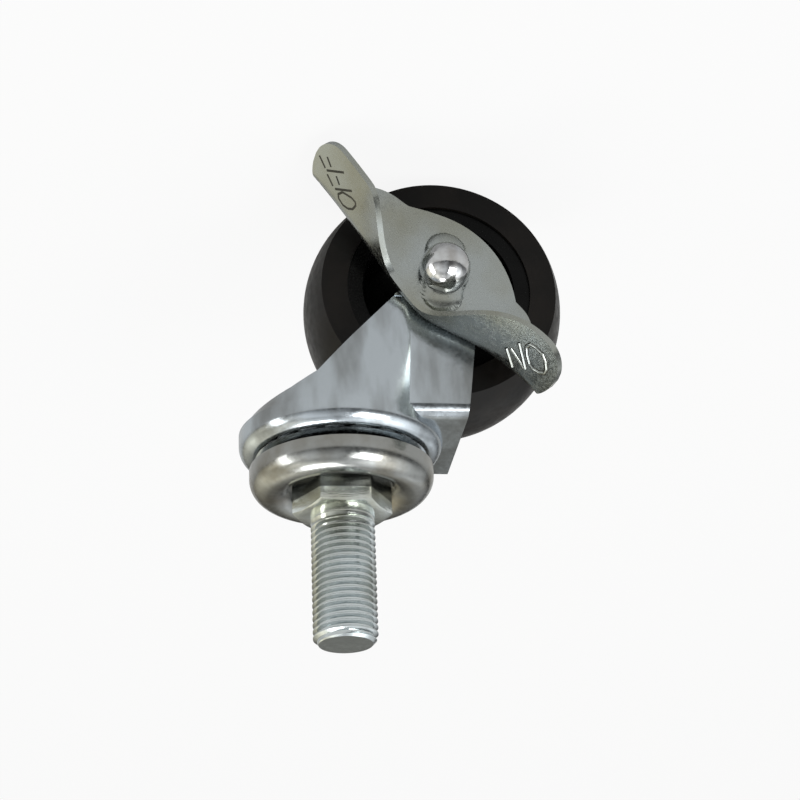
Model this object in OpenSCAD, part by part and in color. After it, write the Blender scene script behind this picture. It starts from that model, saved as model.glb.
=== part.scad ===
// Furniture swivel caster with a threaded stem and a rocking side brake.
// Origin on the swivel axis, at the face of the hexagon that seats against the furniture.
// +Z runs up the stem, the wheel trails towards -X, and the brake lever is on the -Y side.

/* [Stem] */
// Outer diameter of the thread
stem_d = 12; // [10:0.5:13]
// Length of the stem above the seat
stem_len = 25; // [15:1:45]
// Chamfer at the end of the stem
stem_chamfer = 1; // [0.5:0.1:1.5]
// Width of the hexagon across its flats
hex_flats = 16.3; // [15:0.1:19]
// Height of the hexagon
hex_h = 6; // [5:0.5:9]
// Diameter of the kingpin inside the swivel head
kingpin_d = 11.2; // [9:0.2:12.4]
// Diameter of the riveted neck at the foot of the kingpin
neck_d = 9; // [7:0.2:10]

/* [Swivel bearing] */
// Sheet thickness of the upper race cup
cup_t = 1.6; // [1.2:0.1:2]
// Depth of the cup's crest below the seat
crest_drop = 3.5; // [2.5:0.1:4.5]
// Depth of the cup's skirt below the centres of the balls
skirt_drop = 1.7; // [1.2:0.1:2]
// Diameter of the upper balls
ball_d = 4.76; // [4:0.04:5]
// Number of upper balls
ball_n = 16; // [12:1:16]
// Diameter of the lower balls
low_ball_d = 3.2; // [2.6:0.1:3.6]
// Number of lower balls
low_ball_n = 14; // [10:1:14]
// Sheet thickness of the lower race
low_race_t = 1.5; // [1.2:0.1:2]

/* [Fork] */
// Sheet thickness of the fork
fork_t = 1.8; // [1.5:0.1:2.2]
// How far the fork's bead stands out beyond the cup
bead_over = 1.9; // [1.2:0.1:3]
// Radius of the bead round the swivel head
bead_r = 3; // [2.4:0.1:3.4]
// Gap between the cup's skirt and the bead, where the balls show
dust_gap = 1.9; // [1.2:0.1:2.6]
// Depth of the shoulder below the crest of the bead
shoulder_drop = 3.3; // [3:0.1:4.5]
// Outside radius of the bends between the shoulder and the legs
bend_r = 2.6; // [2.2:0.1:3.4]
// Radius of the round end of each leg
leg_end_r = 7.6; // [7:0.1:9]
// Height of the lock dimples on the leg
dimple_h = 0.45; // [0.2:0.05:0.5]

/* [Wheel] */
// Diameter of the wheel over its tread
wheel_d = 50; // [44:0.5:52]
// Width of the tyre
wheel_w = 21.6; // [18:0.2:23]
// Thickness of the tyre over the rim
tyre_t = 7.4; // [5:0.2:9]
// Radius of the crown across the tread
crown_r = 25; // [22:1:60]
// How far the wheel trails behind the swivel axis
trail = 18.5; // [16:0.5:20]
// Gap between the wheel and the underside of the fork's shoulder
wheel_gap = 1.54; // [1.2:0.02:6]
// Diameter of the axle rivet
axle_d = 6; // [5:0.1:6.4]
// Radius of the axle rivet's domed head
rivet_head_r = 4.75; // [4.4:0.05:5.5]
// Height of the axle rivet's domed head
rivet_head_h = 3.4; // [2:0.1:4]

/* [Brake lever] */
// Sheet thickness of the lever
lever_t = 1.2; // [1:0.1:1.5]
// Gap between the lever and the leg
lever_gap = 0.55; // [0.55:0.05:0.8]
// Radius of the lever's round edge
lever_r = 19.6; // [18:0.1:21]
// Width of the pedal that frees the wheel
off_w = 12.5; // [10:0.5:14]
// Width of the pedal that locks the wheel
on_w = 13.6; // [10:0.5:15]
// Width of the flange between the two pedals
waist_w = 2.9; // [2.7:0.1:5]
// Downward tilt of the locking pedal in degrees
on_tilt = 14; // [0:1:20]
// Height of the lever's cam ridge
ridge_h = 1.3; // [1:0.1:1.6]

/* [Hidden] */
$fn = 96;
ball_clear = 0.08;
run_clear = 0.08;
rivet_clear = 0.05;
hub_side_gap = 0.2;
hex_gap = 0.1;
facet_gap = 0.25;
eps = 0.01;

stem_r = stem_d / 2;
hex_r = hex_flats / sqrt(3);
king_r = kingpin_d / 2;
neck_r = neck_d / 2;

// Upper bearing: the cup wraps over the balls from outside, and the fork holds them from inside.
race_r = ball_d / 2 + ball_clear;
cup_arc_r = race_r + cup_t;
ball_z = -crest_drop - cup_arc_r;
pitch_r = hex_r + hex_gap + sqrt(pow(cup_arc_r, 2) - pow(ball_z + hex_h, 2));
cup_r = pitch_r + cup_arc_r;
cup_foot_z = ball_z - skirt_drop;
cup_floor_z = -hex_h - cup_t;

// Head of the fork
head_r = cup_r + bead_over;
crest_z = cup_foot_z - dust_gap;
bead_c = [head_r - bead_r, crest_z - bead_r];
shoulder_z = crest_z - shoulder_drop;
web_z = cup_floor_z - 0.9;
fork_hole_r = king_r + 0.8;
groove_out = 66;
groove_in = 150;

// Lower bearing
low_race_r = low_ball_d / 2 + ball_clear;
low_arc_r = low_race_r + low_race_t;
low_pitch_r = fork_hole_r + low_race_r + 0.15;
low_groove = 0.35;
low_ball_z = web_z - fork_t + low_groove - low_race_r;
low_lip_z = low_ball_z - 0.4;
low_foot_z = low_ball_z - low_arc_r;
peen_r = neck_r + 2;
peen_h = 1.9;

// Wheel and fork legs
wheel_r = wheel_d / 2;
axle_r = axle_d / 2;
axle_drop = fork_t - shoulder_z + wheel_gap + wheel_r;
axle = [-trail, -axle_drop];
boss_len = wheel_w + 5.2;
leg_in = boss_len / 2 + hub_side_gap;
leg_out = leg_in + fork_t;
rim_r = wheel_r - tyre_t;
rim_t = 3;
rim_inset = 0.6;
boss_wall = 3.6;
disc_t = 4.4;
key_w = 5;
key_h = 1.6;
crease_x = -sqrt(pow(head_r, 2) - pow(leg_out, 2));
rear_x = -trail - 4;
cone_step = 0.45;
cone_z = -axle_drop + 4;
cone_back = crease_x - 1.5;
cone_span = 8.5;
cone_front = crease_x + cone_span;
leg_neck = [axle[0] + leg_end_r + 1, axle[1] + 3.2];
leg_front = [5.6, shoulder_z - 8];
lug_r = 1.7;

// Brake lever, drawn round the axle in the plane of the leg
lever_in = leg_out + lever_gap;
lever_out = lever_in + lever_t;
lever_bore_r = axle_r + run_clear;
bend_in = 0.5;
bend_out = bend_in + lever_t;
ridge_half = 3.8;
ridge_len = 8.4;
ridge_slope = 0.5;
ridge_turn = 6;
ridge_top = lever_out + ridge_h;
lever_centre = [6.5, 6.3];
off_curve = [[24.6, -20.3], [16, -9.4], [12, 0.5], [6, 7.9]];
on_curve = [[6, 7.9], [1.6, 13.3], [-7, 12.8], [-15.5, 23.9]];
off_tip_r = 5;
on_tip_r = 6.2;
rivet_seat = ridge_top + rivet_clear;

// Names of the balls are counted from one
function numbered(stem, n) = [for (i = [1 : n]) str(stem, i)];

// Stands a side view up in the XZ plane, with its thickness from y_from to y_to
module upright(y_from, y_to) {
    translate([0, y_to, 0])
        rotate([90, 0, 0])
            linear_extrude(height = y_to - y_from)
                children();
}

// One piece from the thread to the riveted end of the kingpin
module threaded_stem() color("silver") {
    rotate_extrude()
        polygon([
            [0, stem_len],
            [stem_r - stem_chamfer, stem_len],
            [stem_r, stem_len - stem_chamfer],
            [stem_r, -eps],
            [0, -eps]]);
    translate([0, 0, -hex_h])
        hexagon_collar();
    translate([0, 0, low_lip_z])
        cylinder(r = king_r, h = -hex_h - low_lip_z + eps);
    translate([0, 0, low_foot_z - eps])
        cylinder(r = neck_r, h = low_lip_z - low_foot_z + 2 * eps);
    peened_end();
}

// Hexagon with its top corners turned down to a washer face
module hexagon_collar() {
    intersection() {
        rotate([0, 0, 1])
            cylinder(r = hex_r, h = hex_h, $fn = 6);
        rotate_extrude()
            polygon([
                [0, 0],
                [hex_r + 1, 0],
                [hex_r + 1, hex_h - 1],
                [hex_flats / 2 - 0.2, hex_h],
                [0, hex_h]]);
    }
}

// Head formed when the kingpin is riveted over
module peened_end() {
    rotate_extrude()
        intersection() {
            translate([0, low_foot_z - peen_h])
                square([peen_r, peen_h]);
            translate([0, low_foot_z - peen_h + 9])
                circle(r = 9);
            translate([0, low_foot_z - 1.4])
                circle(r = peen_r);
        }
}

// Half-section of the cup, drawn as radius against height
module cup_section() {
    difference() {
        union() {
            intersection() {
                translate([pitch_r, ball_z])
                    circle(r = cup_arc_r);
                translate([king_r, ball_z])
                    square([cup_r, cup_arc_r]);
            }
            translate([pitch_r, cup_foot_z + 0.3])
                square([cup_arc_r, skirt_drop - 0.3]);
            translate([cup_r - cup_t / 2, cup_foot_z + 0.3])
                square([cup_t, 0.6], center = true);
            translate([king_r, cup_floor_z])
                square([pitch_r - cup_arc_r - king_r + 1.2, cup_t]);
        }
        translate([pitch_r, ball_z])
            circle(r = race_r);
        translate([pitch_r - race_r, cup_foot_z - 1])
            square([2 * race_r, ball_z - cup_foot_z + 1]);
        translate([king_r - 1, cup_foot_z - 1])
            square([pitch_r - race_r - king_r + 1 + eps, cup_floor_z - cup_foot_z + 1]);
    }
}

module upper_race_cup() color("lightsteelblue") {
    rotate_extrude()
        cup_section();
}

module ball(i, n, pitch, height, d) color("gainsboro") {
    rotate([0, 0, 360 * (i - 0.5) / n])
        translate([pitch, 0, height])
            sphere(d = d, $fn = 48);
}

module upper_ball(i) ball(i, ball_n, pitch_r, ball_z, ball_d);
module lower_ball(i) ball(i, low_ball_n, low_pitch_r, low_ball_z, low_ball_d);

// Pressed dish that carries the lower balls on the kingpin
module lower_race() color("silver") {
    rotate_extrude()
        difference() {
            union() {
                intersection() {
                    translate([low_pitch_r, low_ball_z])
                        circle(r = low_arc_r);
                    translate([neck_r, low_foot_z])
                        square([low_pitch_r + low_arc_r, low_lip_z - low_foot_z]);
                }
                translate([neck_r, low_foot_z])
                    square([low_pitch_r - neck_r, low_race_t]);
            }
            translate([low_pitch_r, low_ball_z])
                circle(r = low_race_r);
        }
}

// Point on a circle given in the half-section
function on_circle(c, r, a) = [c[0] + r * cos(a), c[1] + r * sin(a)];

// Pressed head of the fork: bead, ball groove and the web round the kingpin
module head_section() {
    groove_c = [pitch_r, ball_z];
    under_r = race_r + fork_t;
    difference() {
        union() {
            intersection() {
                translate(bead_c)
                    circle(r = bead_r);
                translate([bead_c[0], bead_c[1]])
                    square([bead_r, bead_r]);
            }
            translate([bead_c[0], shoulder_z - fork_t])
                square([bead_r, bead_c[1] - shoulder_z + fork_t + eps]);
            polygon([
                [bead_c[0] + eps, crest_z],
                on_circle(groove_c, race_r, -groove_out),
                on_circle(groove_c, race_r + 0.2, -groove_out - 8),
                on_circle(groove_c, under_r - 0.2, -groove_out - 8),
                on_circle(groove_c, under_r, -groove_out),
                [bead_c[0] + eps, crest_z - fork_t]]);
            intersection() {
                translate(groove_c)
                    circle(r = under_r);
                polygon([
                    groove_c,
                    on_circle(groove_c, 2 * under_r, -groove_out),
                    on_circle(groove_c, 2 * under_r, -90),
                    on_circle(groove_c, 2 * under_r, -groove_in)]);
            }
            translate([fork_hole_r, web_z - fork_t])
                square([pitch_r - race_r - fork_hole_r + 0.9, fork_t]);
        }
        translate(groove_c)
            circle(r = race_r);
        translate([bead_c[0] - 1, shoulder_z - fork_t - 1])
            square([bead_r + 1 - fork_t, bead_c[1] - shoulder_z + fork_t + 1]);
        translate(bead_c)
            circle(r = bead_r - fork_t);
        translate([low_pitch_r, low_ball_z])
            circle(r = low_race_r);
    }
}

// Side view of a leg, with the round end on the axle
module leg_outline() {
    translate(axle)
        circle(r = leg_end_r);
    polygon([
        [rear_x + 0.2, shoulder_z + 5],
        [rear_x + 0.2, shoulder_z],
        [rear_x - 1.5, shoulder_z - 14],
        [axle[0] - leg_end_r, axle[1]],
        [axle[0], axle[1] - leg_end_r / 2],
        [axle[0] + 6, axle[1]],
        leg_neck,
        leg_front,
        [leg_front[0], shoulder_z + 5]]);
}

// Part of the side view where the drawn cone runs from the head into the leg
module cone_outline() {
    polygon([
        [cone_back + 0.8, crest_z],
        [cone_back + 0.8, cone_z],
        leg_neck,
        leg_front,
        [10.5, shoulder_z - 5.4],
        [15.5, shoulder_z - 3.7],
        [head_r + 1, shoulder_z - 2.7],
        [head_r + 1, crest_z]]);
}

// Solid form of the drawn cone, from the round head to the flat leg
module cone_form(inset, low, high) {
    hull() {
        translate([0, 0, shoulder_z - fork_t - low])
            cylinder(r = head_r - inset - facet_gap, h = fork_t + low + high, $fn = 64);
        translate([cone_back, cone_step + inset - leg_out, cone_z - 1])
            cube([cone_front - cone_back, 2 * (leg_out - inset - cone_step), 1]);
    }
}

// Section across the two legs and the shoulder
module shoulder_section() {
    difference() {
        rounded_arch(leg_out, shoulder_z, bend_r);
        rounded_arch(leg_in, shoulder_z - fork_t, bend_r - fork_t);
    }
}

module rounded_arch(half, top, r) {
    foot = axle[1] - leg_end_r - 1;
    translate([-half, foot])
        square([2 * half, top - r - foot]);
    translate([-half + r, foot])
        square([2 * (half - r), top - foot]);
    for (side = [-1, 1])
        translate([side * (half - r), top - r])
            circle(r = r);
}

// Flat legs and shoulder, folded from the sheet behind the head
module folded_legs() {
    intersection() {
        translate([-60, 0, 0])
            rotate([90, 0, 90])
                linear_extrude(height = 80)
                    shoulder_section();
        upright(-leg_out - 1, leg_out + 1)
            leg_outline();
        translate([0, 0, -90])
            linear_extrude(height = 90)
                shoulder_plan();
        union() {
            translate([-60, -30, -60])
                cube([60 + crease_x + 0.8, 60, 60]);
            translate([-60, -30, -90])
                cube([80, 60, 90 + cone_z]);
        }
    }
}

// Plan of the folded part, with the bowed rear edge of the shoulder
module shoulder_plan() {
    intersection() {
        translate([-60, -leg_out - 1])
            square([80, 2 * leg_out + 2]);
        translate([rear_x - 5.8 + 40, 0])
            circle(r = 40);
    }
}

// Two low lugs on the leg that click into the lever's cam ridge
module lock_dimples(height) {
    for (end = [-1, 1])
        rotate([0, ridge_turn, 0])
            translate([0, 0, end * (ridge_len - 3.2)])
                rotate([90, 0, 0])
                    cylinder(r1 = lug_r, r2 = lug_r - 0.5, h = height);
}

module fork() color("silver") {
    difference() {
        union() {
            rotate_extrude()
                head_section();
            intersection() {
                difference() {
                    cone_form(0, 0, 2);
                    cone_form(fork_t, 3, 3);
                }
                upright(-head_r - 1, head_r + 1)
                    cone_outline();
                translate([-60, -30, -60])
                    cube([120, 60, 60 + shoulder_z]);
            }
            difference() {
                folded_legs();
                translate([0, 0, shoulder_z - fork_t - 1])
                    cylinder(r = head_r - fork_t / 2, h = fork_t + 2);
            }
            translate([axle[0], -leg_out + eps, axle[1]])
                lock_dimples(dimple_h + eps);
        }
        translate([axle[0], leg_out + 1, axle[1]])
            rotate([90, 0, 0])
                cylinder(r = axle_r + rivet_clear, h = 2 * leg_out + 3);
    }
}

// Half-section of the moulded hub, drawn as radius against width
module hub_section() {
    bore = axle_r + run_clear;
    translate([bore, -boss_len / 2])
        square([boss_wall, boss_len]);
    translate([bore, -disc_t / 2])
        square([rim_r - bore, disc_t]);
    translate([rim_r - rim_t, rim_inset - wheel_w / 2])
        square([rim_t, wheel_w - 2 * rim_inset]);
    translate([rim_r - eps, -key_w / 2])
        square([key_h, key_w]);
}

module wheel_hub() color("dimgray") {
    translate([axle[0], 0, axle[1]])
        rotate([90, 0, 0])
            rotate_extrude()
                hub_section();
}

// Half-section of the tyre, crowned across the tread
module tyre_section() {
    half = wheel_w / 2;
    difference() {
        intersection() {
            translate([rim_r, -half])
                square([tyre_t, wheel_w]);
            translate([wheel_r - crown_r, 0])
                circle(r = crown_r);
        }
        translate([rim_r - eps, -key_w / 2])
            square([key_h, key_w]);
    }
}

module tyre() color("black") {
    translate([axle[0], 0, axle[1]])
        rotate([90, 0, 0])
            rotate_extrude()
                tyre_section();
}

// Axle rivet: domed head over the lever, formed tail on the far leg
module axle_rivet() color("gainsboro") {
    head_sphere = (pow(rivet_head_r, 2) + pow(rivet_head_h - 0.4, 2)) / (2 * (rivet_head_h - 0.4));
    tail_h = 1.8;
    tail_r = axle_r + 2.2;
    tail_sphere = (pow(tail_r, 2) + pow(tail_h, 2)) / (2 * tail_h);
    translate([axle[0], 0, axle[1]])
        rotate([90, 0, 0]) {
            translate([0, 0, -leg_out - eps])
                cylinder(r = axle_r, h = leg_out + rivet_seat + 2 * eps);
            translate([0, 0, rivet_seat])
                cylinder(r = rivet_head_r, h = 0.4);
            rotate_extrude()
                intersection() {
                    translate([0, rivet_seat + rivet_head_h - head_sphere])
                        circle(r = head_sphere);
                    translate([0, rivet_seat + 0.4 - eps])
                        square([rivet_head_r, rivet_head_h]);
                }
            rotate_extrude()
                intersection() {
                    translate([0, -leg_out - tail_h + tail_sphere])
                        circle(r = tail_sphere);
                    translate([0, -leg_out - tail_h])
                        square([tail_r, tail_h]);
                }
        }
}

// Bezier curve through four points
function bezier(p, t) =
    pow(1 - t, 3) * p[0] + 3 * pow(1 - t, 2) * t * p[1]
    + 3 * (1 - t) * t * t * p[2] + pow(t, 3) * p[3];

// The fold line of the lever from the OFF tip, at 0, to the ON tip, at 1
function fold(s) = s < 0.5 ? bezier(off_curve, 2 * s) : bezier(on_curve, 2 * s - 1);
function unit(v) = v / norm(v);
function fold_dir(s) = unit(fold(min(1, s + 0.01)) - fold(max(0, s - 0.01)));
function fold_side(s) = [fold_dir(s)[1], -fold_dir(s)[0]];

// Smooth step from a to b as x goes from 0 to 1
function ease(a, b, x) = let (k = min(1, max(0, x))) a + (b - a) * (3 * k * k - 2 * k * k * k);
function flange_w(s) = s < 0.42
    ? ease(off_w, waist_w, (s - 0.11) / 0.23)
    : ease(waist_w, on_w, (s - 0.5) / 0.43);
function flange_tilt(s) = ease(0, on_tilt, (s - 0.5) / 0.4);

// How much a round tip of radius r takes off at a distance d from the end
function tip_cut(d, r) = d >= r ? 0 : r - sqrt(max(0, r * r - pow(r - d, 2)));
function tip_gap(s) = s < 0.5
    ? tip_cut(norm(fold(s) - fold(0)), off_tip_r) / off_tip_r
    : tip_cut(norm(fold(s) - fold(1)), on_tip_r) / on_tip_r;

// Section of the folded sheet at q along its path: side is 1 on the outer face, 0 on the inner
function sheet_point(q, tilt, side) =
    let (
        turn = 90 + tilt,
        arc = bend_out * turn * PI / 180,
        r = bend_in + side * lever_t,
        c = [-bend_out, bend_out])
    q < 0 ? [c[0] + q, c[1] - r]
    : q < arc ? let (a = -90 + turn * q / arc) [c[0] + r * cos(a), c[1] + r * sin(a)]
    : [c[0] + r * cos(tilt) - (q - arc) * sin(tilt), c[1] + r * sin(tilt) + (q - arc) * cos(tilt)];

lap = 1.2;
sheet_steps = 10;
fold_steps = 40;
tip_flat = 0.85;
function fold_at(i) = (1 - cos(180 * i / fold_steps)) / 4 + 0.5 * i / fold_steps;
function sheet_ring(s) =
    let (
        close = tip_flat * tip_gap(s),
        wide = flange_w(s) + 0.6,
        from = close * (wide / 2 + lap) - lap,
        to = wide - close * wide / 2)
    [for (side = [0, 1]) for (k = [0 : sheet_steps])
        let (
            j = side == 0 ? k : sheet_steps - k,
            q = from + (to - from) * j / sheet_steps,
            p = sheet_point(q, flange_tilt(s), side),
            base = fold(s) + fold_side(s) * p[0])
        [base[0], -lever_in - p[1], base[1]]];

// Folded flange with the two pedals, lofted along the fold line
module lever_flange() {
    rings = [for (i = [0 : fold_steps]) sheet_ring(fold_at(i))];
    m = 2 * (sheet_steps + 1);
    points = [for (ring = rings) for (p = ring) p];
    sides = [for (i = [0 : fold_steps - 1]) for (j = [0 : m - 1])
        let (a = i * m + j, b = i * m + (j + 1) % m)
        each [[a, b + m, b], [a, a + m, b + m]]];
    start = [for (j = [0 : sheet_steps - 1])
        each [[j, j + 1, m - 2 - j], [j, m - 2 - j, m - 1 - j]]];
    last = fold_steps * m;
    end = [for (j = [0 : sheet_steps - 1])
        each [[last + j, last + m - 2 - j, last + j + 1], [last + j, last + m - 1 - j, last + m - 2 - j]]];
    polyhedron(points = points, faces = concat(sides, start, end));
}

// Flat plate of the lever, round on the free side and running into the fold
module lever_outline() {
    steps = 24;
    intersection() {
        translate(lever_centre)
            circle(r = lever_r);
        polygon(concat(
            [for (i = [0 : steps]) let (s = i / steps) fold(s) - fold_side(s) * (bend_out + lap / 2)],
            [[-40, 20], [-40, -40], [20, -40]]));
    }
}

// Long oval, with the given half width and half length
module oval(half, len) {
    translate([-half, -(len - half)])
        square([2 * half, 2 * (len - half)]);
    for (end = [-1, 1])
        translate([0, end * (len - half)])
            circle(r = half, $fn = 48);
}

// Raised oval with sloping sides, standing on the outer face of the sheet
module ridge_form(half, len, height) {
    hull() {
        linear_extrude(height = 0.1)
            oval(half, len);
        linear_extrude(height = height)
            oval(half - ridge_slope, len - ridge_slope);
    }
}

module brake_lever() color("silver") {
    translate([axle[0], 0, axle[1]])
        difference() {
            union() {
                upright(-lever_out, -lever_in)
                    lever_outline();
                lever_flange();
                translate([0, -lever_out + eps, 0])
                    rotate([90, ridge_turn, 0])
                        ridge_form(ridge_half, ridge_len, ridge_h + eps);
            }
            translate([0, -lever_in + eps, 0])
                rotate([90, ridge_turn, 0])
                    ridge_form(ridge_half - 1, ridge_len - 1, ridge_h + eps);
            rotate([90, 0, 0])
                cylinder(r = lever_bore_r, h = rivet_seat + 1);
        }
}

threaded_stem();
upper_race_cup();
fork();
lower_race();
wheel_hub();
tyre();
axle_rivet();
brake_lever();
for (i = [1 : ball_n]) upper_ball(i);
for (i = [1 : low_ball_n]) lower_ball(i);
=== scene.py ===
import math

import bmesh
import bpy
from mathutils import Matrix, Vector


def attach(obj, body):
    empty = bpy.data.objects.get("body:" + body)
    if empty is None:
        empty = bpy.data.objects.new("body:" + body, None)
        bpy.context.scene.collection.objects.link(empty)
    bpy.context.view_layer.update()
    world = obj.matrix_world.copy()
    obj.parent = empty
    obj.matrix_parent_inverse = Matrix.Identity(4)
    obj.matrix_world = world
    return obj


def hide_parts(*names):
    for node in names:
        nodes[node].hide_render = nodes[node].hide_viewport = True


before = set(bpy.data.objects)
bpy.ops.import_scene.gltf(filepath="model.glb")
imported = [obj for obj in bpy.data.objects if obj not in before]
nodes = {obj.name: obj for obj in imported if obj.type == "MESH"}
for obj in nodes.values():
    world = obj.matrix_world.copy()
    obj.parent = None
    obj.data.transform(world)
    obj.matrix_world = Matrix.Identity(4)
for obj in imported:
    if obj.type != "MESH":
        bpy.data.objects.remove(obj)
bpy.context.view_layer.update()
MM = 0.001
AXLE = Vector((-18.5, 0.0, -42.8))
FLOOR_Z = -67.8
WELD = 0.000002


# ---------------------------------------------------------------- meshes
def new_piece(name, points, faces, material, body, smooth=40.0):
    mesh = bpy.data.meshes.new(name)
    mesh.from_pydata([[c * MM for c in p] for p in points], [], faces)
    mesh.validate()
    shape = bmesh.new()
    shape.from_mesh(mesh)
    bmesh.ops.remove_doubles(shape, verts=shape.verts, dist=WELD)
    bmesh.ops.recalc_face_normals(shape, faces=shape.faces)
    shape.to_mesh(mesh)
    shape.free()
    mesh.polygons.foreach_set("use_smooth", [True] * len(mesh.polygons))
    mesh.set_sharp_from_angle(angle=math.radians(smooth))
    mesh.materials.append(material)
    piece = bpy.data.objects.new(name, mesh)
    bpy.context.scene.collection.objects.link(piece)
    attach(piece, body)
    return piece


def ring_faces(rows, count, first=0):
    faces = []
    for i in range(rows - 1):
        for j in range(count):
            k = (j + 1) % count
            a = first + i * count
            b = a + count
            faces.append((a + j, a + k, b + k, b + j))
    return faces


# ---------------------------------------------------------------- materials
def node_tree(name):
    material = bpy.data.materials.new(name)
    material.use_nodes = True
    tree = material.node_tree
    return material, tree, tree.nodes["Principled BSDF"]


def noise(tree, coord, scale, detail=3.0, stretch=None):
    if stretch:
        mapping = tree.nodes.new("ShaderNodeMapping")
        mapping.inputs["Scale"].default_value = stretch
        tree.links.new(coord, mapping.inputs["Vector"])
        coord = mapping.outputs["Vector"]
    texture = tree.nodes.new("ShaderNodeTexNoise")
    texture.inputs["Scale"].default_value = scale
    texture.inputs["Detail"].default_value = detail
    tree.links.new(coord, texture.inputs["Vector"])
    return texture.outputs["Fac"]


def ramp(tree, value, low, high, out_low, out_high):
    node = tree.nodes.new("ShaderNodeMapRange")
    node.inputs["From Min"].default_value = low
    node.inputs["From Max"].default_value = high
    node.inputs["To Min"].default_value = out_low
    node.inputs["To Max"].default_value = out_high
    tree.links.new(value, node.inputs["Value"])
    return node.outputs["Result"]


def blend_colour(tree, fac, a, b):
    node = tree.nodes.new("ShaderNodeMix")
    node.data_type = "RGBA"
    node.inputs["A"].default_value = (*a, 1.0)
    node.inputs["B"].default_value = (*b, 1.0)
    tree.links.new(fac, node.inputs["Factor"])
    return node.outputs["Result"]


def arithmetic(tree, operation, a, b):
    node = tree.nodes.new("ShaderNodeMath")
    node.operation = operation
    tree.links.new(a, node.inputs[0])
    tree.links.new(b, node.inputs[1])
    return node.outputs["Value"]


def bump(tree, shader, height, strength, distance):
    node = tree.nodes.new("ShaderNodeBump")
    node.inputs["Strength"].default_value = strength
    node.inputs["Distance"].default_value = distance
    tree.links.new(height, node.inputs["Height"])
    tree.links.new(node.outputs["Normal"], shader.inputs["Normal"])


def metal(name, colour, stain, rough, flow=None, streak=None, ripple=0.03, blotch=60.0,
          painted_shade_below=None):
    """Bright zinc: stained patches, fine grain and a slight ripple. Where a height is given,
    the piece is darkened below it as painted shade, the band above it up to z 0 is brightened
    as a painted highlight, and from z 2 mm up the colour is plain again."""
    material, tree, shader = node_tree(name)
    coord = tree.nodes.new("ShaderNodeTexCoord").outputs["Object"]
    shader.inputs["Metallic"].default_value = 1.0
    patches = ramp(tree, noise(tree, coord, blotch, 5.0, flow), 0.40, 0.66, 0.0, 1.0)
    paint = blend_colour(tree, patches, colour, stain)
    # Painted shade below the given height, a painted highlight band above it, taken off again
    # on the thread
    if painted_shade_below is not None:
        split = tree.nodes.new("ShaderNodeSeparateXYZ")
        tree.links.new(coord, split.inputs["Vector"])
        painted_shade_and_highlight = ramp(tree, split.outputs["Z"], painted_shade_below - 0.0002, painted_shade_below, 0.3, 1.45)
        thread = ramp(tree, split.outputs["Z"], 0.0, 0.002, 1.0, 0.69)
        painted_light = arithmetic(tree, "MULTIPLY", painted_shade_and_highlight, thread)
        scale = tree.nodes.new("ShaderNodeVectorMath")
        scale.operation = "SCALE"
        tree.links.new(paint, scale.inputs[0])
        tree.links.new(painted_light, scale.inputs["Scale"])
        paint = scale.outputs["Vector"]
    tree.links.new(paint, shader.inputs["Base Color"])
    grain = noise(tree, coord, 1400.0, 3.0, streak)
    tree.links.new(ramp(tree, grain, 0.35, 0.65, *rough), shader.inputs["Roughness"])
    wave = noise(tree, coord, 420.0, 4.0, streak)
    bump(tree, shader, wave, ripple, 0.0006)
    return material


def black(name, colour, light, rough, specular, scale=700.0, strength=0.12):
    material, tree, shader = node_tree(name)
    coord = tree.nodes.new("ShaderNodeTexCoord").outputs["Object"]
    fine = noise(tree, coord, scale, 5.0)
    broad = ramp(tree, noise(tree, coord, 120.0, 3.0), 0.4, 0.7, 0.0, 1.0)
    tree.links.new(blend_colour(tree, broad, colour, light), shader.inputs["Base Color"])
    tree.links.new(ramp(tree, fine, 0.3, 0.7, *rough), shader.inputs["Roughness"])
    shader.inputs["Specular IOR Level"].default_value = specular
    bump(tree, shader, fine, strength, 0.0001)
    return material


zinc_fork = metal("zinc_fork", (0.52, 0.57, 0.61), (0.27, 0.285, 0.29), (0.15, 0.27),
                  flow=(1.8, 1.0, 0.5), blotch=90.0)
zinc_cup = metal("zinc_cup", (0.36, 0.37, 0.36), (0.22, 0.205, 0.17), (0.15, 0.27),
                 blotch=120.0)
zinc_lever = metal("zinc_lever", (0.41, 0.44, 0.435), (0.33, 0.335, 0.285), (0.18, 0.3))
# The stem's hex carries painted shade below z -2.7 mm and a painted highlight band from there
# up to z 0
zinc_stem = metal("zinc_stem", (0.66, 0.71, 0.72), (0.38, 0.39, 0.34), (0.10, 0.24),
                  streak=(1.0, 1.0, 8.0), ripple=0.06, painted_shade_below=-0.0027)
zinc_rivet = metal("zinc_rivet", (0.74, 0.76, 0.78), (0.46, 0.45, 0.44), (0.08, 0.2),
                   ripple=0.16, blotch=260.0)
ball_steel = metal("ball_steel", (0.42, 0.42, 0.41), (0.12, 0.11, 0.10), (0.1, 0.3))
# Near-black colour for painted shade in and around the stamped letters
letter_groove_shade = metal("letter_groove_shade", (0.05, 0.05, 0.045), (0.09, 0.085, 0.07), (0.4, 0.6))
hub_plastic = black("hub_plastic", (0.001, 0.001, 0.001), (0.003, 0.003, 0.003),
                    (0.22, 0.34), 0.12)
tyre_rubber = black("tyre_rubber", (0.004, 0.0035, 0.003), (0.009, 0.007, 0.0055),
                    (0.3, 0.46), 0.18)

LOOKS = {
    "threaded_stem": zinc_stem,
    "upper_race_cup": zinc_cup,
    "lower_race": zinc_fork,
    "fork": zinc_fork,
    "wheel_hub": hub_plastic,
    "tyre": tyre_rubber,
    "axle_rivet": zinc_rivet,
    "brake_lever": zinc_lever,
}


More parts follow.
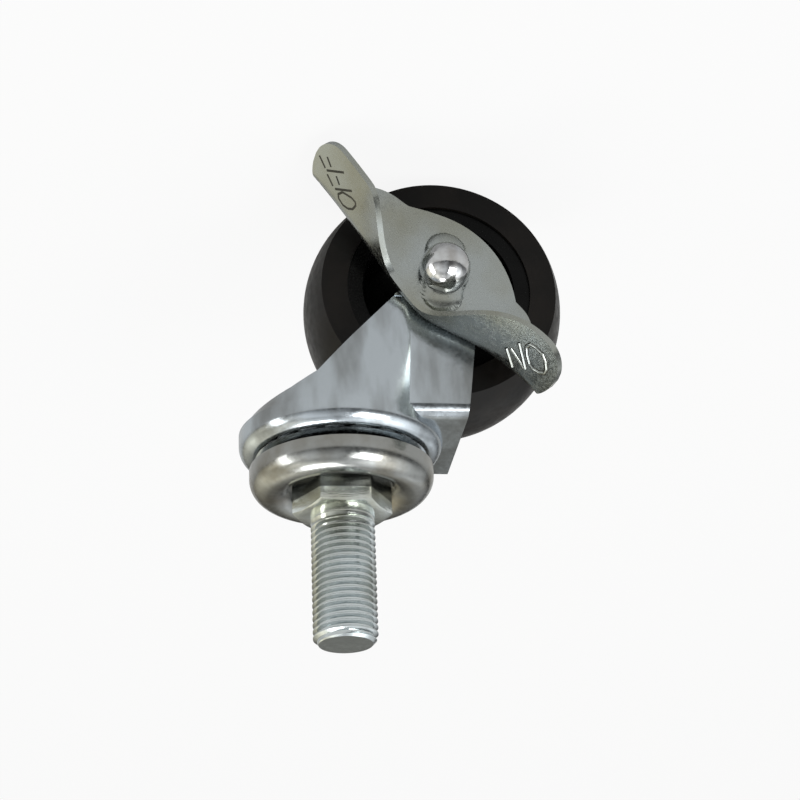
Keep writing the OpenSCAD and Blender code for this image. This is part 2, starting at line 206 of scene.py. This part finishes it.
def smooth_group(angle):
    """Merges the split corners of a CAD mesh and shades it smooth up to an angle."""
    group = bpy.data.node_groups.new("smooth_by_angle", "GeometryNodeTree")
    group.interface.new_socket("Geometry", in_out="INPUT", socket_type="NodeSocketGeometry")
    group.interface.new_socket("Geometry", in_out="OUTPUT", socket_type="NodeSocketGeometry")
    start = group.nodes.new("NodeGroupInput")
    end = group.nodes.new("NodeGroupOutput")
    merge = group.nodes.new("GeometryNodeMergeByDistance")
    merge.inputs["Distance"].default_value = 0.000004
    faces = group.nodes.new("GeometryNodeSetShadeSmooth")
    faces.domain = "FACE"
    edges = group.nodes.new("GeometryNodeSetShadeSmooth")
    edges.domain = "EDGE"
    angles = group.nodes.new("GeometryNodeInputMeshEdgeAngle")
    test = group.nodes.new("FunctionNodeCompare")
    test.operation = "LESS_THAN"
    test.inputs["B"].default_value = math.radians(angle)
    link = group.links.new
    link(angles.outputs["Unsigned Angle"], test.inputs["A"])
    link(start.outputs[0], merge.inputs["Geometry"])
    link(merge.outputs["Geometry"], faces.inputs["Geometry"])
    link(faces.outputs["Geometry"], edges.inputs["Geometry"])
    link(test.outputs["Result"], edges.inputs["Shade Smooth"])
    link(edges.outputs["Geometry"], end.inputs[0])
    return group


soft_edges = smooth_group(28.0)
for name, piece in nodes.items():
    piece.data.materials.clear()
    piece.data.materials.append(LOOKS.get(name, ball_steel))
    with bpy.context.temp_override(object=piece, active_object=piece, selected_objects=[piece]):
        bpy.ops.mesh.customdata_custom_splitnormals_clear()
    modifier = piece.modifiers.new("smooth", "NODES")
    modifier.node_group = soft_edges

# ---------------------------------------------------------------- stem with its thread
PITCH = 1.25
DEPTH = 0.76
STEM_R = 6.0
STEM_LEN = 25.0
AROUND = 144
HEX_TURN = 1.0
HEX_FLATS = 16.3
HEX_H = 6.0


def polar(radius, turn, z):
    angle = 2 * math.pi * turn + math.radians(HEX_TURN)
    return (radius * math.cos(angle), radius * math.sin(angle), z)


def thread_rows():
    """Radius and height of each row of the thread, without the rise of the helix."""
    rows = []
    for turn in range(-1, 22):
        for phase, depth in ((-0.07, 0.0), (0.07, 0.0), (0.39, 1.0), (0.61, 1.0)):
            rows.append(((turn + phase) * PITCH, depth))
    return rows


def stem_shaft():
    points = []
    rows = thread_rows()
    for height, depth in rows:
        for j in range(AROUND):
            turn = j / AROUND
            z = min(STEM_LEN, max(0.0, height + turn * PITCH))
            fade = min(1.0, max(0.0, (z - 0.9) / 2.2))
            radius = STEM_R - DEPTH * depth * fade
            radius = min(radius, STEM_R - (z - STEM_LEN + 1.0))
            points.append(polar(radius, turn, z))
    faces = []
    for i in range(len(rows) - 1):
        for j in range(AROUND):
            a = i * AROUND + j
            b = a + AROUND
            c = a + 1
            if j + 1 == AROUND:
                c = (i + 4) * AROUND
            quad = (a, c, c + AROUND, b)
            if max(quad) < len(points) and len({points[k][2] for k in quad}) > 1:
                faces.append(quad)
    return points, faces


def hexagon_radius(turn):
    off_flat = (turn * 360.0 + 30.0) % 60.0 - 30.0
    off_flat = 30.0 - abs(off_flat)
    return min(9.34, HEX_FLATS / 2 / math.cos(math.radians(off_flat)))


def stem_foot():
    """Hexagon, kingpin and riveted end, ring by ring from the stem down."""
    face_r = HEX_FLATS / 2 - 0.2
    plain = [(5.6, -HEX_H), (5.6, -12.03), (4.5, -12.03), (4.5, -14.81), (5.53, -14.81),
             (5.0, -15.23), (4.0, -15.77), (3.0, -16.2), (1.5, -16.58), (0.1, -16.71)]
    rings = [[polar(STEM_R, j / AROUND, 0.0) for j in range(AROUND)]]
    rings.append([polar(face_r, j / AROUND, 0.0) for j in range(AROUND)])
    corner = []
    low = []
    for j in range(AROUND):
        radius = hexagon_radius(j / AROUND)
        corner.append(polar(radius, j / AROUND, -(radius - face_r) / 2.46))
        low.append(polar(radius, j / AROUND, -HEX_H))
    rings += [corner, low]
    rings += [[polar(r, j / AROUND, z) for j in range(AROUND)] for r, z in plain]
    return rings


def make_stem():
    points, faces = stem_shaft()
    rings = stem_foot()
    first = len(points)
    faces += [tuple(reversed(f)) for f in ring_faces(len(rings), AROUND, first)]
    points += [p for ring in rings for p in ring]
    first = len(points)
    top = [(0.1, 24.985), (3.0, 25.0), (STEM_R - 1.0, 25.0)]
    faces += [tuple(reversed(f)) for f in ring_faces(len(top), AROUND, first)]
    points += [polar(r, j / AROUND, z) for r, z in top for j in range(AROUND)]
    stem = new_piece("stem_and_thread", points, faces, zinc_stem, "stem_head", 24.0)
    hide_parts("threaded_stem")


make_stem()


# ---------------------------------------------------------------- lever of one bent sheet
LEVER_IN = 15.95
LEVER_T = 1.2
BEND_IN = 0.5
BEND_OUT = BEND_IN + LEVER_T
OFF_CURVE = [(25.2, -21.1), (16.0, -9.4), (12.0, 0.5), (6.0, 7.9)]
ON_CURVE = [(6.0, 7.9), (1.6, 13.3), (-7.0, 12.8), (-17.2, 26.1)]
OFF_W = 14.1
WAIST_W = 3.5
ON_W = 15.0
LEAN = 14.0
OFF_TIP_R = 5.0
ON_TIP_R = 5.4
TIP_FLAT = 0.98
TIP_SHIFT = 0.9
BORE_R = 3.08
FOLD_STEPS = 96
SHEET_STEPS = 14
PLATE_STEPS = 60
PLATE_FROM = 0.07
PLATE_TO = 0.93
ARC_MIDDLE = (6.5, 6.3)
ARC_R = 19.6
OFF_CORNER = [(6.2, -14.0), (9.9, -16.3), (13.9, -17.0), (17.3, -17.3)]
ON_CORNER = [(-14.8, 18.3), (-15.9, 15.0), (-16.0, 11.5), (-15.4, 8.9), (-14.4, 7.2),
             (-13.4, 5.9)]
CREASES = [((14.4, -6.4), (0.676, -0.737), 0.3), ((-13.4, 5.9), (-0.21, 0.977), 0.2)]
CREASE_SOFT = 2.0
RIDGE_HALF = 3.8
RIDGE_LONG = 8.4
RIDGE_TURN = 6.0
RIDGE_H = 1.3


def bezier(curve, t):
    p = [Vector(c) for c in curve]
    u = 1 - t
    return u ** 3 * p[0] + 3 * u * u * t * p[1] + 3 * u * t * t * p[2] + t ** 3 * p[3]


def fold(s):
    return bezier(OFF_CURVE, 2 * s) if s < 0.5 else bezier(ON_CURVE, 2 * s - 1)


def fold_side(s):
    along = (fold(min(1.0, s + 0.01)) - fold(max(0.0, s - 0.01))).normalized()
    return Vector((along.y, -along.x))


def ease(a, b, x):
    k = min(1.0, max(0.0, x))
    return a + (b - a) * (3 * k * k - 2 * k ** 3)


def flange_lean(s):
    return math.radians(LEAN * (ease(1, 0, (s - 0.16) / 0.22) + ease(0, 1, (s - 0.5) / 0.4)))


def flange_width(s):
    if s < 0.42:
        return ease(OFF_W, WAIST_W, (s - 0.16) / 0.22)
    return ease(WAIST_W, ON_W, (s - 0.5) / 0.43)


def plate_rise(p):
    """How far the plate stands out past its two creases."""
    total = 0.0
    for start, away, slope in CREASES:
        d = (p - Vector(start)).dot(Vector(away))
        if d > CREASE_SOFT:
            total += slope * d
        elif d > -CREASE_SOFT:
            total += slope * (d + CREASE_SOFT) ** 2 / (4 * CREASE_SOFT)
    return total


def plate_ridge(p):
    """Height of the long raised oval round the rivet."""
    turn = math.radians(RIDGE_TURN)
    across = p.x * math.cos(turn) - p.y * math.sin(turn)
    along = p.x * math.sin(turn) + p.y * math.cos(turn)
    over = max(0.0, abs(along) - (RIDGE_LONG - RIDGE_HALF))
    return RIDGE_H * math.sqrt(max(0.0, 1 - math.hypot(across, over) ** 2 / RIDGE_HALF ** 2))


def flange_point(s, q, face):
    """Point q along the bent sheet at s; face is 1 on the pressed side, 0 on the other."""
    lean = flange_lean(s)
    radius = BEND_IN + face * LEVER_T
    turn = math.pi / 2 + lean
    arc = BEND_OUT * turn
    if q < arc:
        a = turn * q / arc - math.pi / 2
        x = radius * math.cos(a)
        y = BEND_OUT + radius * math.sin(a)
    else:
        x = radius * math.cos(lean) - (q - arc) * math.sin(lean)
        y = BEND_OUT + radius * math.sin(lean) + (q - arc) * math.cos(lean)
    p = fold(s) + fold_side(s) * (x - BEND_OUT)
    return AXLE + Vector((p.x, -LEVER_IN - y, p.y))


def plate_edge(s):
    """Where the plate meets the flange: at the bend, or inside its wall past a crease."""
    side = fold_side(s)
    risen = min(1.0, plate_rise(fold(s) - side * BEND_OUT) / 0.6)
    return fold(s) - side * (BEND_OUT - 0.7 * risen)


def tip_close(s):
    end, radius = (fold(0.0), OFF_TIP_R) if s < 0.5 else (fold(1.0), ON_TIP_R)
    d = (fold(s) - end).length
    if d >= radius:
        return 0.0
    return TIP_FLAT * (1 - math.sqrt(max(0.0, radius ** 2 - (radius - d) ** 2)) / radius)


def rounded(line, rounds=3):
    """Cuts the corners of a line, both of its ends kept."""
    points = [Vector(p) for p in line]
    for _ in range(rounds):
        cut = [points[0]]
        for a, b in zip(points, points[1:]):
            cut += [a.lerp(b, 0.25), a.lerp(b, 0.75)]
        points = cut + [points[-1]]
    return points


def plate_arc():
    first = math.atan2(OFF_CORNER[0][1] - ARC_MIDDLE[1], OFF_CORNER[0][0] - ARC_MIDDLE[0])
    last = math.atan2(ON_CORNER[-1][1] - ARC_MIDDLE[1], ON_CORNER[-1][0] - ARC_MIDDLE[0])
    points = []
    for i in range(1, 48):
        t = i / 48
        angle = first + (last - first) * t
        radius = ARC_R + 0.7 * max(0.0, 1 - 4 * t) ** 2 + 0.3 * max(0.0, 4 * t - 3) ** 2
        points.append(Vector((ARC_MIDDLE[0] + radius * math.cos(angle),
                              ARC_MIDDLE[1] + radius * math.sin(angle))))
    return points


def make_lever():
    stations = [i / FOLD_STEPS - 0.8 * math.sin(2 * math.pi * i / FOLD_STEPS) / (2 * math.pi)
                for i in range(FOLD_STEPS + 1)]
    beside = [i for i, s in enumerate(stations) if PLATE_FROM <= s <= PLATE_TO]
    flat = {i for i in beside
            if plate_rise(fold(stations[i]) - fold_side(stations[i]) * BEND_OUT) == 0.0}
    points, faces = [], []
    for s in stations:
        half = flange_width(s) / 2
        low = tip_close(s) * (half + TIP_SHIFT)
        high = 2 * half - tip_close(s) * (half - TIP_SHIFT)
        row = [low + (high - low) * k / SHEET_STEPS for k in range(SHEET_STEPS + 1)]
        points += [flange_point(s, q, 1) for q in row]
        points += [flange_point(s, q, 0) for q in reversed(row)]
    count = 2 * (SHEET_STEPS + 1)
    for i in range(FOLD_STEPS):
        joined = i in flat and i + 1 in flat
        for j in range(count - 1 if joined else count):
            a, b = i * count, (i + 1) * count
            k = (j + 1) % count
            faces.append((a + j, a + k, b + k, b + j))
    faces.append(tuple(range(count)))
    faces.append(tuple(range(FOLD_STEPS * count, (FOLD_STEPS + 1) * count)))

    corner = rounded(OFF_CORNER + [tuple(plate_edge(stations[beside[0]]))])
    outline = corner[:-1]
    bent = len(outline)
    outline += [plate_edge(stations[i]) for i in beside]
    joined = {bent + n for n, i in enumerate(beside) if i in flat and i + 1 in flat}
    outline += rounded([tuple(outline[-1])] + ON_CORNER)[1:]
    outline += list(reversed(plate_arc()))
    around = len(outline)
    first = len(points)
    for depth in (LEVER_T, 0.0):
        for i in range(PLATE_STEPS + 1):
            for edge in outline:
                p = (edge.normalized() * BORE_R).lerp(edge, i / PLATE_STEPS)
                out = LEVER_IN + depth + plate_rise(p) + plate_ridge(p)
                points.append(AXLE + Vector((p.x, -out, p.y)))
    faces += ring_faces(PLATE_STEPS + 1, around, first)
    back = first + (PLATE_STEPS + 1) * around
    faces += ring_faces(PLATE_STEPS + 1, around, back)
    rim = PLATE_STEPS * around
    for j in range(around):
        k = (j + 1) % around
        faces.append((first + j, first + k, back + k, back + j))
        if j not in joined:
            faces.append((first + rim + j, first + rim + k, back + rim + k, back + rim + j))
    lever = new_piece("brake_lever_sheet", points, faces, zinc_lever, "lever")
    bevel = lever.modifiers.new("edges", "BEVEL")
    bevel.width = 0.00016
    bevel.segments = 2
    bevel.limit_method = "ANGLE"
    bevel.angle_limit = math.radians(40.0)
    bevel.harden_normals = True
    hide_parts("brake_lever")


make_lever()

# ---------------------------------------------------------------- axle rivet
RIVET_R = 3.0
RIVET_HEAD_R = 4.75
RIVET_SEAT = 18.5
RIVET_DOME = 5.0
RIVET_TAIL_R = 5.2
RIVET_TAIL = 1.8
LEG_OUT = 15.9


def make_rivet():
    """Full dome over the lever, shank, and the low formed tail on the far leg."""
    rim = RIVET_SEAT + 0.7
    profile = [(0.02, rim + RIVET_DOME)]
    for i in range(1, 17):
        a = math.radians(90.0 - i * 90.0 / 16)
        profile.append((RIVET_HEAD_R * math.cos(a), rim + RIVET_DOME * math.sin(a)))
    profile += [(RIVET_HEAD_R, RIVET_SEAT), (RIVET_R, RIVET_SEAT), (RIVET_R, -LEG_OUT)]
    profile.append((RIVET_TAIL_R, -LEG_OUT))
    for i in range(1, 9):
        a = math.radians(i * 90.0 / 8)
        profile.append((max(0.02, RIVET_TAIL_R * math.cos(a)),
                        -LEG_OUT - RIVET_TAIL * math.sin(a)))
    around = 64
    points = []
    for radius, out in profile:
        for j in range(around):
            a = 2 * math.pi * j / around
            points.append(AXLE + Vector((radius * math.cos(a), -out, radius * math.sin(a))))
    faces = ring_faces(len(profile), around)
    rivet = new_piece("axle_rivet_domed", points, faces, zinc_rivet, "fork_frame")
    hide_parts("axle_rivet")


make_rivet()

# Strokes of the two words, as (s, q) on the flange
WORD_OFF = [
    [(0.0428, 6.84), (0.086, 10.51)], [(0.0373, 6.96), (0.0104, 8.15)],
    [(0.0494, 8.52), (0.0296, 9.68)],
    [(0.0843, 5.19), (0.1284, 8.92)], [(0.0755, 5.22), (0.0482, 6.21)],
    [(0.0903, 7.03), (0.0718, 7.99)],
    [(0.1065, 6.38), (0.0984, 4.92), (0.1052, 4.21), (0.1243, 4.02), (0.142, 4.6),
     (0.155, 5.7), (0.1584, 7.18), (0.1533, 7.72), (0.1374, 7.6), (0.1205, 6.95),
     (0.1065, 6.38)],
]
WORD_ON = [
    [(0.8715, 6.55), (0.9065, 3.32)], [(0.8819, 7.16), (0.9319, 5.19)],
    [(0.8931, 9.86), (0.9353, 5.37)],
    [(0.9172, 11.52), (0.9133, 10.24), (0.9228, 8.68), (0.9367, 7.24), (0.9513, 6.89),
     (0.9642, 7.32), (0.9742, 8.27), (0.9737, 9.49), (0.9653, 10.7), (0.9502, 11.79),
     (0.9334, 11.87), (0.9172, 11.52)],
]


def on_flange(s, q):
    """Point on the pressed face and the direction out of it."""
    here = flange_point(s, q, 1)
    return here, (here - flange_point(s, q, 0)).normalized()


def make_word(name, strokes, width, height, material):
    """Low rounded bars that follow the strokes over the flange."""
    profile = [(-1.0, -0.04), (-0.8, 0.5), (-0.4, 0.95), (0.0, 1.0), (0.4, 0.95),
               (0.8, 0.5), (1.0, -0.04)]
    points, faces = [], []
    for stroke in strokes:
        path = []
        for (s0, q0), (s1, q1) in zip(stroke, stroke[1:]):
            path += [(s0 + (s1 - s0) * k / 8, q0 + (q1 - q0) * k / 8) for k in range(8)]
        path.append(stroke[-1])
        spots = [on_flange(s, q) for s, q in path]
        first = len(points)
        for i, (here, out) in enumerate(spots):
            ahead = spots[min(i + 1, len(spots) - 1)][0] - spots[max(i - 1, 0)][0]
            across = ahead.cross(out).normalized() * width / 2
            points += [here + across * u + out * height * v for u, v in profile]
        step = len(profile)
        for i in range(len(spots) - 1):
            for j in range(step - 1):
                a = first + i * step + j
                faces.append((a, a + 1, a + step + 1, a + step))
    new_piece(name, points, faces, material, "lever", 80.0)


# OFF: thin flat dark bars, painted shade where the letters are stamped
make_word("letters_off", WORD_OFF, 0.5, 0.03, letter_groove_shade)
# ON: a wide flat dark foot of painted shade under the raised letters that follow
make_word("letters_on_foot", WORD_ON, 1.0, 0.03, letter_groove_shade)
make_word("letters_on", WORD_ON, 0.6, 0.24, zinc_lever)


# ---------------------------------------------------------------- stage
def area_light(name, place, target, size, watts, tint=(1.0, 1.0, 1.0)):
    light = bpy.data.lights.new(name, "AREA")
    light.shape = "RECTANGLE"
    light.size, light.size_y = size
    light.energy = watts
    light.color = tint
    lamp = bpy.data.objects.new(name, light)
    lamp.location = place
    aim = Vector(target) - Vector(place)
    lamp.rotation_euler = aim.to_track_quat("-Z", "Y").to_euler()
    bpy.context.scene.collection.objects.link(lamp)


def make_floor():
    material, tree, shader = node_tree("floor")
    shader.inputs["Base Color"].default_value = (0.44, 0.44, 0.44, 1.0)
    shader.inputs["Roughness"].default_value = 0.9
    shader.inputs["Specular IOR Level"].default_value = 0.1
    glow = tree.nodes.new("ShaderNodeEmission")
    rays = tree.nodes.new("ShaderNodeLightPath")
    mix = tree.nodes.new("ShaderNodeMixShader")
    share = ramp(tree, rays.outputs["Is Camera Ray"], 0.0, 1.0, 0.0, 0.9)
    tree.links.new(share, mix.inputs["Fac"])
    tree.links.new(shader.outputs["BSDF"], mix.inputs[1])
    tree.links.new(glow.outputs["Emission"], mix.inputs[2])
    output = tree.nodes["Material Output"]
    tree.links.new(mix.outputs["Shader"], output.inputs["Surface"])
    half = 3.0
    z = FLOOR_Z * MM
    mesh = bpy.data.meshes.new("floor")
    mesh.from_pydata(
        [(-half, -half, z), (half, -half, z), (half, half, z), (-half, half, z)],
        [], [(0, 1, 2, 3)])
    mesh.materials.append(material)
    floor = bpy.data.objects.new("floor", mesh)
    bpy.context.scene.collection.objects.link(floor)


def directed(tree, coord, way, low, high, out_low, out_high):
    """Ramps over how closely a direction points the given way."""
    dot = tree.nodes.new("ShaderNodeVectorMath")
    dot.operation = "DOT_PRODUCT"
    dot.inputs[1].default_value = way
    tree.links.new(coord, dot.inputs[0])
    return ramp(tree, dot.outputs["Value"], low, high, out_low, out_high)


def make_world():
    world = bpy.data.worlds.new("studio")
    bpy.context.scene.world = world
    world.use_nodes = True
    tree = world.node_tree
    coord = tree.nodes.new("ShaderNodeTexCoord").outputs["Generated"]
    split = tree.nodes.new("ShaderNodeSeparateXYZ")
    tree.links.new(coord, split.inputs["Vector"])
    rise = ramp(tree, split.outputs["Z"], 0.0, 0.75, 0.20, 1.35)
    away = directed(tree, coord, (0.10, 0.95, 0.30), 0.75, 0.97, 1.0, 0.22)
    front = directed(tree, coord, (0.05, -0.85, 0.52), 0.72, 0.96, 1.0, 0.42)
    card = directed(tree, coord, (-0.62, -0.15, 0.77), 0.75, 0.95, 0.0, 0.6)
    patches = ramp(tree, noise(tree, coord, 1.6, 1.0), 0.38, 0.62, 0.45, 1.3)
    level = arithmetic(tree, "MULTIPLY", rise, away)
    level = arithmetic(tree, "MULTIPLY", level, front)
    level = arithmetic(tree, "MULTIPLY", level, patches)
    glow = directed(tree, coord, (0.75, 0.60, 0.28), 0.70, 0.97, 0.0, 0.45)
    level = arithmetic(tree, "ADD", level, card)
    level = arithmetic(tree, "ADD", level, glow)
    rays = tree.nodes.new("ShaderNodeLightPath")
    mix = tree.nodes.new("ShaderNodeMix")
    mix.data_type = "FLOAT"
    tree.links.new(rays.outputs["Is Camera Ray"], mix.inputs["Factor"])
    tree.links.new(level, mix.inputs["A"])
    mix.inputs["B"].default_value = 1.0
    warm = directed(tree, coord, (0.72, 0.62, 0.30), 0.3, 0.9, 0.0, 1.0)
    tint = blend_colour(tree, warm, (0.97, 0.99, 1.0), (1.0, 0.95, 0.78))
    plain = tree.nodes.new("ShaderNodeMix")
    plain.data_type = "RGBA"
    plain.inputs["B"].default_value = (1.0, 1.0, 1.0, 1.0)
    tree.links.new(rays.outputs["Is Camera Ray"], plain.inputs["Factor"])
    tree.links.new(tint, plain.inputs["A"])
    tree.links.new(mix.outputs["Result"], tree.nodes["Background"].inputs["Strength"])
    tree.links.new(plain.outputs["Result"], tree.nodes["Background"].inputs["Color"])


def make_camera():
    """Upside down, as the caster stands in the photograph."""
    yaw, pitch, roll = 0.13892, 0.42625, 0.03845
    forward = Vector((-math.sin(yaw) * math.cos(pitch), math.cos(yaw) * math.cos(pitch),
                      -math.sin(pitch)))
    down = Vector((0.0, 0.0, 1.0))
    down = (down - down.dot(forward) * forward).normalized()
    right = down.cross(forward)
    turned_right = math.cos(roll) * right + math.sin(roll) * down
    turned_down = -math.sin(roll) * right + math.cos(roll) * down
    camera = bpy.data.cameras.new("camera")
    camera.sensor_width = 36.0
    camera.lens = 2281.654 * 36.0 / 800.0
    camera.clip_start = 0.01
    eye = bpy.data.objects.new("camera", camera)
    axes = Matrix((turned_right, -turned_down, -forward)).transposed().to_4x4()
    eye.matrix_world = Matrix.Translation(Vector((43.387, -393.489, 156.303)) * MM) @ axes
    bpy.context.scene.collection.objects.link(eye)
    bpy.context.scene.camera = eye


area_light("key", (-0.30, -0.45, 0.45), (0, 0, -0.02), (0.35, 0.35), 2.8)
area_light("top", (0.15, 0.10, 0.70), (0, 0, -0.02), (0.30, 0.30), 1.7)
area_light("side", (0.60, -0.10, 0.15), (0, 0, -0.02), (0.15, 0.45), 0.9)
make_floor()
make_world()
make_camera()
bpy.context.scene.view_settings.view_transform = "Standard"
